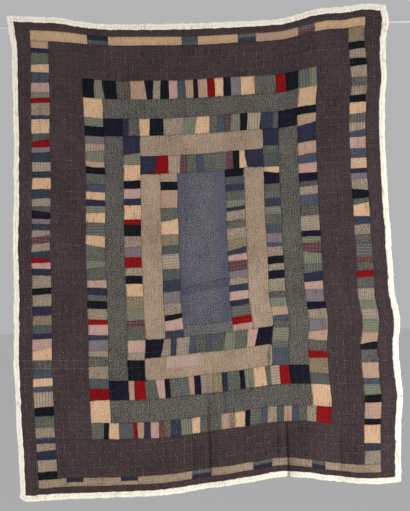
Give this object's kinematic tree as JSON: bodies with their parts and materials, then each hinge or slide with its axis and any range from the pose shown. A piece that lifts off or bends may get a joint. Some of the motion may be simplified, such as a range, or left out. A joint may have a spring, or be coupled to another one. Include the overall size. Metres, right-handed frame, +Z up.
{
  "type": "railroad crossing quilt on a hanging rod",
  "caption": "Pieced quilt of nested strip frames round a plain centre panel, bound in cream, hung upright in front of a thin level rod.",
  "frame": {"origin": "centre of the rod's left end face, seen from the quilt's front", "axes": "+X along the rod to the right, +Z up, quilt face towards -Y"},
  "size_m": [1.9, 0.04, 2.1817],
  "materials": {
    "binding_cotton": "matt cream cotton, folded and sewn over the edge",
    "brown_cotton": "matt brown-mauve cotton with fine slubs and running stitches",
    "scrap_cloth": "small patches of plain, tweed, check and print cloth",
    "grey_tweed": "matt green-grey tweed",
    "tan_tweed": "matt tan tweed",
    "navy_cloth": "matt dark navy cloth",
    "blue_cloth": "worn blue-grey twill",
    "rod_steel": "pale satin paint"
  },
  "bodies": {
    "root": {"binding_top": "binding_cotton", "binding_bottom": "binding_cotton", "binding_left": "binding_cotton", "binding_right": "binding_cotton", "narrow_border_top": "brown_cotton", "narrow_border_bottom": "brown_cotton", "narrow_border_left": "brown_cotton", "narrow_border_right": "brown_cotton", "outer_scraps_top": "scrap_cloth", "outer_scraps_bottom": "scrap_cloth", "outer_scraps_left": "scrap_cloth", "outer_scraps_right": "scrap_cloth", "wide_border_top": "brown_cotton", "wide_border_bottom": "brown_cotton", "wide_border_left": "brown_cotton", "wide_border_right": "brown_cotton", "scraps_c_top": "scrap_cloth", "scraps_c_bottom": "scrap_cloth", "scraps_c_left": "scrap_cloth", "scraps_c_right": "scrap_cloth", "grey_frame_top": "grey_tweed", "grey_frame_bottom": "grey_tweed", "grey_frame_left": "grey_tweed", "grey_frame_right": "grey_tweed", "scraps_b_top": "scrap_cloth", "scraps_b_bottom": "scrap_cloth", "scraps_b_left": "scrap_cloth", "scraps_b_right": "scrap_cloth", "tan_frame_top": "tan_tweed", "tan_frame_bottom": "tan_tweed", "tan_frame_left": "tan_tweed", "tan_frame_right": "tan_tweed", "scraps_a_top": "scrap_cloth", "scraps_a_bottom": "scrap_cloth", "scraps_a_left": "scrap_cloth", "scraps_a_right": "scrap_cloth", "navy_square_top_left": "navy_cloth", "navy_square_top_right": "navy_cloth", "navy_square_bottom_left": "navy_cloth", "navy_square_bottom_right": "navy_cloth", "centre_panel": "blue_cloth", "rod": "rod_steel"}
  },
  "joints": []
}
